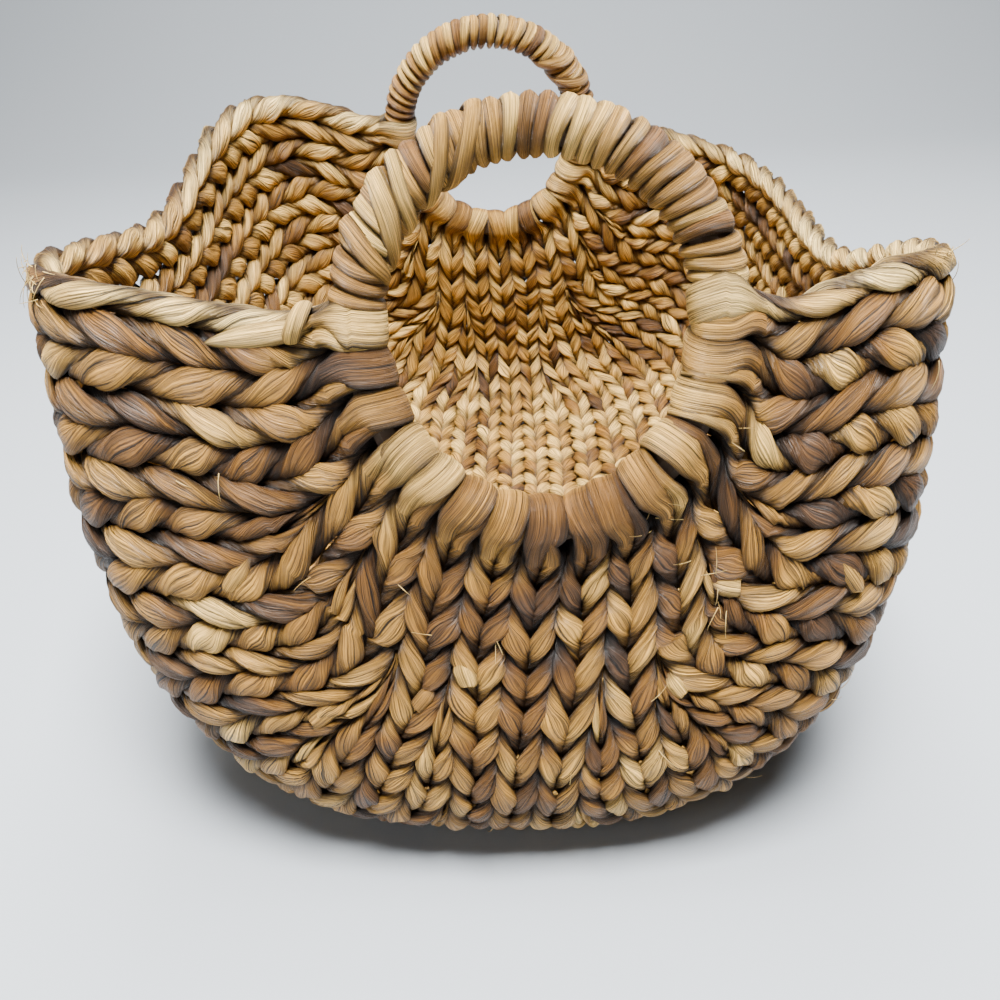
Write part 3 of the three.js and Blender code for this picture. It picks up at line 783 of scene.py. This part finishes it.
# Second layer, evenly from its first to its last place along the handle, plus an uneven share and
# sway * cos(angle - 2.4). Its width lies square to its own path.
def crossingStrand(side, first, last, loops, seed):
    rng = default_rng(seed)
    loop = np.linspace(0, loops, loops * 30 + 1)

    def chance():
        return overLobes(rng.uniform(-1, 1, 2 * loops + 2), 2 * loop)

    uneven = chance() * crossing["uneven"]
    angle = 2.2 - 2 * math.pi * loop
    sway = crossing["sway"] * np.cos(angle - 2.4)
    middle, _, radial = roundHandle(blend(first, last, loop / loops) + uneven + sway, angle, side)
    x, y = strandSection(binding["sectionPoints"])
    ends = smoothStep(np.minimum(loop, loops - loop), 0, 0.25)
    length = 2 * math.pi * loop * hoopRadius
    ridges = slowWaves(rng, length, len(x), *crossing["ridges"])
    low = coreRadius + crossing["fromCore"]
    thickness = blend(0.6, hoopRadius + crossing["rise"] - low, ends)
    back = (1 - crossing["edgeDrop"] * np.abs(x) ** 2.4) * ridges
    arch = np.where(y > 0, back, 0.1 - 0.2 * np.abs(y))
    halfWidth = crossing["halfWidth"] * blend(0.5, 1, ends) * (1 + crossing["widthSpread"] * chance())
    sideways = unit(np.cross(radial, unit(np.gradient(middle + radial * hoopRadius, axis=0))))
    rings = sweep(middle, radial, low + thickness[:, None] * arch, sideways, halfWidth[:, None] * x)
    tone = crossing["tone"][0] + crossing["tone"][1] * chance()
    # Painted shade darkens each loop towards its edges
    return openTube(rings, length / unitsPerUv + 5, binding["lines"], tone[:, None],
                    crossing["edgeShade"] * np.abs(x) ** 4)


for end, side in (("front", -1.0), ("back", 1.0)):
    strand = bindingStrand(side, 7 if side < 0 else 8)
    makePiece(f"{end}_handle_strand", [strand], [bindingMaterial], [f"{end}_handle_binding"])
    secondStrand = crossingStrand(side, *crossing[end], 21 if side < 0 else 22)
    makePiece(f"{end}_handle_crossing", [secondStrand], [bindingMaterial])
print("handle bindings made")


# Short ends of strand tucked in over the rows: spread and place of the root, heading from the
# row's direction in degrees, length, half width and tone
tucks = {
    "ends": [
        (-0.165, 0.165, 30, 14, 4.6, 0.1), (-0.2, 0.205, -22, 12, 3.6, 0.4),
        (0.31, 0.215, 20, 12, 4.2, 0.08), (0.45, 0.15, 40, 15, 4.4, 0.05),
        (0.385, 0.35, 20, 12, 4.0, 0.15), (-0.36, 0.26, -18, 17, 4.4, 0.25),
        (-0.62, 0.22, 14, 15, 4.0, 0.2), (0.66, 0.3, -16, 14, 3.8, 0.25),
        (0.02, 0.5, 18, 13, 4.0, 0.3), (-0.5, 1.7, 15, 15, 4.6, 0.1),
        (0.3, 1.78, -18, 15, 4.6, 0.2), (0.72, 1.6, 12, 16, 4.4, 0.35),
    ],
    "thickness": 1.2, "rise": 1.3, "bedding": 1.3, "rootSink": 2.5,
    "ragged": (0.14, 30.0), "curl": 1.7, "tipCuts": (-1.6, 0.8),
}


# Points on the outside of the wall at distances from a root, with their axes. Place and spread
# grow with the distance over their own lengths on the wall.
def overWall(spread, place, heading, distance, lift):
    step = 1e-3
    perPlace = np.linalg.norm(wallPoint(spread, place + step) - wallPoint(spread, place)) / step
    perSpread = np.linalg.norm(wallPoint(spread + step, place) - wallPoint(spread, place)) / step
    places = place + distance * math.cos(heading) / perPlace
    spreads = spread + distance * math.sin(heading) / perSpread
    across, out = wallFrame(spreads, places)
    points = wallPoint(spreads, places) + out * (wallHalf + lift)[:, None]
    forward = unit(np.gradient(points, axis=0))
    return points, unit(np.cross(out, forward)), out


# One tucked end: a flat sine arch from under the rows, with its edges curled down, a ragged tip, and
# painted shade at its root and edges
def tuckedEnd(number, spread, place, degrees, length, halfWidth, tone):
    rng = default_rng(900 + number)
    share = np.linspace(0, 1, 16)
    arch = np.sin(math.pi * np.minimum(share * 0.62 + 0.06, 1))
    lift = tucks["rise"] * arch - tucks["rootSink"] * (1 - share) ** 4 - tucks["bedding"]
    points, sideways, out = overWall(spread, place, math.radians(degrees), share * length, lift)
    width = halfWidth * blend(0.45, 1, smoothStep(share, 0, 0.45))
    width = width * (1 - 0.12 * smoothStep(share, 0.75, 1))
    x, y = strandSection(14)
    ragged = slowWaves(rng, share * length, len(x), *tucks["ragged"])
    reach = tucks["thickness"] * y * ragged - np.abs(x) ** 2 * tucks["curl"]
    rings = sweep(points, sideways, width[:, None] * x, out, reach)
    forward = unit(np.gradient(points, axis=0))[-1]
    rings[-1] += forward * rng.uniform(*tucks["tipCuts"], len(x))[:, None]
    # Painted shade at the root, where it comes out from under the rows, and at the edges
    return openTube(rings, share * length / unitsPerUv + number, 1.2, tone,
                    np.clip(0.9 - 3 * share, 0, 1)[:, None] + 0.6 * np.abs(x) ** 4)


tubes = [tuckedEnd(number, *end) for number, end in enumerate(tucks["ends"])]
makePiece("tucked_ends", tubes, [rowMaterial])

# Tail of the left rim's strand that crosses to the hoop, with a curl beside it
rimTail = {
    "root": (-0.925, 0.2), "heading": 190.0, "length": 42.0, "halfWidth": 4.8,
    "thickness": 0.62,  # of the half width
    "rise": 3.8, "bedding": 4.2, "tone": 0.22,
    "curlAt": (-0.96, 0.075), "curlRadius": 6.6,
    "curlLift": 3.0, "curlSway": 3.0, "curlHalfWidth": 3.8, "curlThickness": 1.5,
    "curlTone": 0.3,
}


# Lens-shaped tube along a path, with painted shade towards its edges
def tailTube(points, sideways, out, width, thickness, tone, shade):
    x, y = strandSection(14)
    reach = thickness[:, None] * y * (1 - 0.35 * np.abs(x) ** 2)
    rings = sweep(points, sideways, width[:, None] * x, out, reach)
    shade = shade[:, None] + 0.7 * np.abs(x) ** 5
    return openTube(rings, pathLength(points) / unitsPerUv, 1.5, tone, shade)


# The tail is a sine arch over the wall, and the curl a half circle on the rim that sways along it
def makeRimTail():
    share = np.linspace(0, 1, 30)
    lift = rimTail["rise"] * np.sin(math.pi * share) ** 0.8 - rimTail["bedding"]
    heading = math.radians(rimTail["heading"])
    points, sideways, out = overWall(*rimTail["root"], heading, share * rimTail["length"], lift)
    width = rimTail["halfWidth"] * np.sin(math.pi * (0.02 + 0.84 * share)) ** 0.8
    # Painted shade at both ends of the tail, where it goes under
    ends = 0.8 * np.abs(2 * share - 1) ** 4
    tail = tailTube(points, sideways, out, width, rimTail["thickness"] * width, rimTail["tone"], ends)
    across, wallOut = (axis[0] for axis in wallFrame(*np.array(rimTail["curlAt"])[:, None]))
    base = wallPoint(*rimTail["curlAt"]) + wallOut * rimTail["curlLift"]
    angle = np.linspace(-0.5, math.pi + 0.5, 24)
    radial = across * np.cos(angle)[:, None] + wallOut * (0.85 * np.sin(angle))[:, None]
    along = np.tile(np.cross(across, wallOut), (len(angle), 1))
    sway = along * (rimTail["curlSway"] * np.cos(angle))[:, None]
    curlWidth = rimTail["curlHalfWidth"] * (0.8 + 0.2 * np.sin(angle))
    curlThickness = np.full(len(angle), rimTail["curlThickness"])
    curl = tailTube(base + radial * rimTail["curlRadius"] + sway, along, unit(radial), curlWidth,
                    curlThickness, rimTail["curlTone"], 0 * angle)
    makePiece("rim_tail", [tail, curl], [rimMaterial])


makeRimTail()

# Loose fibres: bundles at a corner of each rim and on the front, and single ones all over
fibres = {
    "bundles": [(-0.985, 0.475, 22), (0.985, 0.44, 5), (0.45, 0.155, 7), (0.36, 0.02, 8)],
    "bundleSpread": (0.012, 0.03), "bundleTone": 0.05,
    "scattered": 70, "scatteredTones": (0, 0.3),
    "length": (6.0, 15.0), "radius": 0.2,
    "rise": (0.15, 0.7), "bend": 0.5,
}


# One fibre: it rises from the surface, bends and sags with the square of the way, and gets thinner
def fibreTube(rng, spread, place, tone):
    across, out = (axis[0] for axis in wallFrame(np.array([spread]), np.array([place])))
    along = np.cross(across, out)
    share = np.linspace(0, 1, 7)
    length = rng.uniform(*fibres["length"])
    heading = rng.uniform(0, 2 * math.pi)
    flat = across * math.cos(heading) + along * math.sin(heading)
    rise = rng.uniform(*fibres["rise"])
    bend = rng.uniform(-fibres["bend"], fibres["bend"])
    side = np.cross(out, flat)
    root = wallPoint(spread, place) + out * (wallHalf - 0.6)
    points = (root + flat * (share * length * math.cos(rise))[:, None]
              + side * (bend * share ** 2 * 5)[:, None]
              + out * (length * (math.sin(rise) * share - 0.3 * share ** 2))[:, None])
    angle = 2 * math.pi * np.arange(5) / 5
    radius = fibres["radius"] * (1 - 0.6 * share)
    circle = side * np.cos(angle)[:, None] + out * np.sin(angle)[:, None]
    rings = points[:, None, :] + circle[None] * radius[:, None, None]
    rings[..., 2] = np.maximum(rings[..., 2], 0)
    return openTube(rings, share, 0.1, tone, 0.0)


# Fibres by a normal distribution round each bundle's place, and by an even one over the wall
def makeLooseFibres():
    rng = default_rng(77)
    tubes = []
    acrossBundle, alongBundle = fibres["bundleSpread"]
    for spread, place, count in fibres["bundles"]:
        for _ in range(count):
            near = np.clip(spread + rng.normal(0, acrossBundle), -0.998, 0.998)
            nearPlace = np.clip(place + rng.normal(0, alongBundle), 0.01, 1.99)
            tubes.append(fibreTube(rng, near, nearPlace, fibres["bundleTone"]))
    for _ in range(fibres["scattered"]):
        spread, place = rng.uniform(-0.99, 0.99), rng.uniform(0.05, 1.95)
        tubes.append(fibreTube(rng, spread, place, rng.uniform(*fibres["scatteredTones"])))
    makePiece("loose_fibres", tubes, [rimMaterial])


makeLooseFibres()
print("tucked ends, rim tail and loose fibres made")


# Pale floor that curves up into a backdrop, soft light, and the photograph's camera
studio = {
    "floorColour": (0.345, 0.37, 0.395), "floorRoughness": 0.7,
    "floorFront": -4.0,  # metres
    "floorBack": 1.4, "sweepRadius": 1.2, "wallTop": 5.0, "floorHalfWidth": 6.0,
    "worldColour": (0.79, 0.785, 0.78), "worldStrength": 0.1,
    "seenStrength": 0.62,  # of what the camera sees beyond the paper
    "lights": [  # place, size, watts
        ((0.1, -0.56, 1.66), 0.55, 136.0),
        ((-0.1, 0.05, 1.9), 0.9, 66.0),
        ((-0.95, -1.1, 0.9), 0.4, 5.0),
        ((0.0, 1.0, 2.4), 1.0, 75.0),
    ],
    "aim": (0.0, 0.0, 0.15),
    "cameraPlace": (21.8, -519.8, 378.9),  # mm
    "yaw": -0.05, "pitch": 0.551, "roll": -0.055, "lens": 33.2,
}


# The paper is flat, a quarter circle and flat again. A camera ray that meets the world sees
# seenStrength, any other ray worldStrength. Each light faces the aim.
def makeStudio():
    bend = np.linspace(0, math.pi / 2, 24)
    radius = studio["sweepRadius"]
    y = np.concatenate([[studio["floorFront"]], studio["floorBack"] + radius * np.sin(bend)])
    z = np.concatenate([[0], radius - radius * np.cos(bend)])
    y, z = np.append(y, y[-1]), np.append(z, studio["wallTop"])
    x = np.full(len(y), studio["floorHalfWidth"])
    points = np.concatenate([np.stack([-x, y, z], axis=-1), np.stack([x, y, z], axis=-1)])
    first = np.arange(len(y) - 1)
    faces = np.stack([first, first + len(y), first + len(y) + 1, first + 1], axis=-1)
    mesh = bpy.data.meshes.new("backdrop")
    mesh.from_pydata(points.tolist(), [], faces.tolist())
    mesh.shade_smooth()
    backdrop = addObject("backdrop", mesh)
    paint, tree = newMaterial("palePaper")
    shader = tree.nodes["Principled BSDF"]
    shader.inputs["Base Color"].default_value = (*studio["floorColour"], 1)
    shader.inputs["Roughness"].default_value = studio["floorRoughness"]
    mesh.materials.append(paint)
    world = bpy.data.worlds.new("studio")
    world.use_nodes = True
    tree = world.node_tree
    dim = tree.nodes["Background"]
    bright = addNode(tree, "ShaderNodeBackground")
    for background, strength in ((dim, studio["worldStrength"]), (bright, studio["seenStrength"])):
        background.inputs["Color"].default_value = (*studio["worldColour"], 1)
        background.inputs["Strength"].default_value = strength
    seen = addNode(tree, "ShaderNodeLightPath").outputs["Is Camera Ray"]
    mix = addNode(tree, "ShaderNodeMixShader", in0=seen, in1=dim.outputs[0], in2=bright.outputs[0])
    tree.links.new(mix.outputs[0], tree.nodes["World Output"].inputs["Surface"])
    bpy.context.scene.world = world
    for number, (place, size, watts) in enumerate(studio["lights"]):
        light = bpy.data.lights.new(f"softLight{number}", "AREA")
        light.size = size
        light.energy = watts
        lamp = addObject(light.name, light)
        lamp.location = place
        aim = np.array(studio["aim"]) - np.array(place)
        tilt = math.atan2(math.hypot(aim[0], aim[1]), -aim[2])
        lamp.rotation_euler = (tilt, 0, math.atan2(aim[1], aim[0]) - math.pi / 2)


# Camera axes from yaw to the right, pitch down and roll, as the columns of its matrix
def makeCamera():
    yaw, pitch, roll = studio["yaw"], studio["pitch"], studio["roll"]
    forward = np.array([math.sin(yaw) * math.cos(pitch), math.cos(yaw) * math.cos(pitch), -math.sin(pitch)])
    right = np.array([math.cos(yaw), -math.sin(yaw), 0])
    up = np.cross(right, forward)
    turnedRight = math.cos(roll) * right + math.sin(roll) * up
    turnedUp = -math.sin(roll) * right + math.cos(roll) * up
    view = bpy.data.cameras.new("photoCamera")
    view.lens = studio["lens"]
    view.sensor_width = 36.0
    view.clip_start = 0.01
    camera = addObject("photoCamera", view)
    matrix = np.eye(4)
    matrix[:3, :3] = np.stack([turnedRight, turnedUp, -forward], axis=1)
    matrix[:3, 3] = np.array(studio["cameraPlace"]) * metresPerMm
    camera.matrix_world = Matrix(matrix.tolist())
    bpy.context.scene.camera = camera


makeStudio()
makeCamera()
print("studio and camera made")
